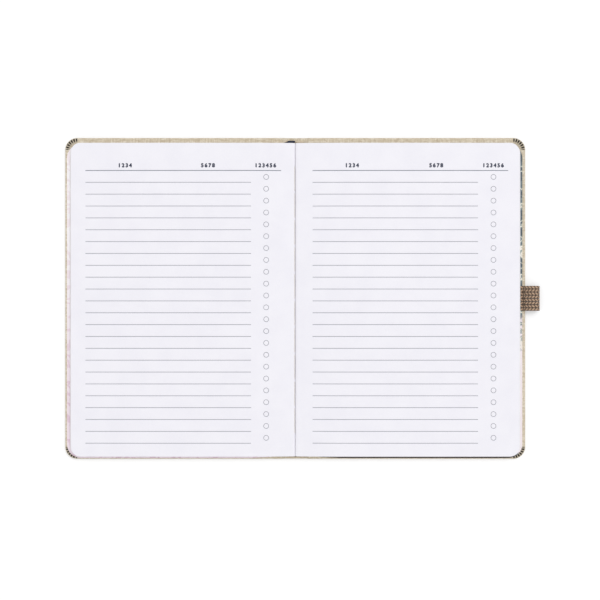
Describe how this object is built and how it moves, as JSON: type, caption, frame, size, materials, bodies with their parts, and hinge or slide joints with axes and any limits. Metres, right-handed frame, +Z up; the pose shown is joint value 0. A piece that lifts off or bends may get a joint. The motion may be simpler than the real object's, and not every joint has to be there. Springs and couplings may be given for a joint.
{
  "type": "planner",
  "caption": "Casebound planner lying open flat, with ruled pages, a ribbon marker and an elastic pen loop; covers close and leaves turn.",
  "frame": {"origin": "on the table, under the gutter and half-way up the spine, on the spine's underside", "axes": "+X towards the back cover, across the open book; +Y towards the head; +Z up from the table"},
  "size_m": [0.319, 0.216, 0.0086],
  "materials": {
    "cloth": "matte woven book cloth, khaki linen",
    "board": "plain grey-brown binder's board",
    "band": "ribbed cotton band",
    "mull": "open cotton gauze, glued",
    "endpaper": "smooth printed paper",
    "paper": "uncoated cool white writing paper, ruled",
    "thread": "waxed linen thread",
    "ribbon": "navy satin",
    "elastic": "ribbed woven elastic, taupe"
  },
  "bodies": {
    "spine": {"spine_card": "board", "spine_cloth": "cloth", "head_band": "band", "tail_band": "band"},
    "front_half": {"front_board": "board", "front_cloth": "cloth", "front_mull": "mull", "front_endpaper": "endpaper", "left_section_1": "paper", "left_section_2": "paper", "left_section_3": "paper", "left_centre_section": "paper", "sewing_thread": "thread", "ribbon_marker": "ribbon"},
    "left_leaf": {"left_leaf": "paper"},
    "back_half": {"back_board": "board", "back_cloth": "cloth", "back_mull": "mull", "back_endpaper": "endpaper", "right_section_1": "paper", "right_section_2": "paper", "right_section_3": "paper", "right_centre_section": "paper", "pen_loop_tab": "elastic"},
    "right_leaf": {"right_leaf": "paper"},
    "pen_loop": {"pen_loop": "elastic"}
  },
  "joints": [
    {"name": "front_fold", "type": "hinge", "parent": "spine", "child": "front_half", "pos_m": [-0.0031, 0, 0.0056], "axis": [0, 1, 0], "range_deg": [0, 90]},
    {"name": "back_fold", "type": "hinge", "parent": "spine", "child": "back_half", "pos_m": [0.0031, 0, 0.0056], "axis": [0, -1, 0], "range_deg": [0, 90]},
    {"name": "left_leaf_turn", "type": "hinge", "parent": "front_half", "child": "left_leaf", "pos_m": [0, 0, 0.00869], "axis": [0, -1, 0], "range_deg": [-179.9, 0]},
    {"name": "right_leaf_turn", "type": "hinge", "parent": "back_half", "child": "right_leaf", "pos_m": [0, 0, 0.00869], "axis": [0, 1, 0], "range_deg": [-179.9, 0]},
    {"name": "pen_loop_fold", "type": "hinge", "parent": "back_half", "child": "pen_loop", "pos_m": [0.1535, 0, 0.0031], "axis": [0, -1, 0], "range_deg": [0, 60], "stiffness_Nm_per_rad": 0.002}
  ]
}
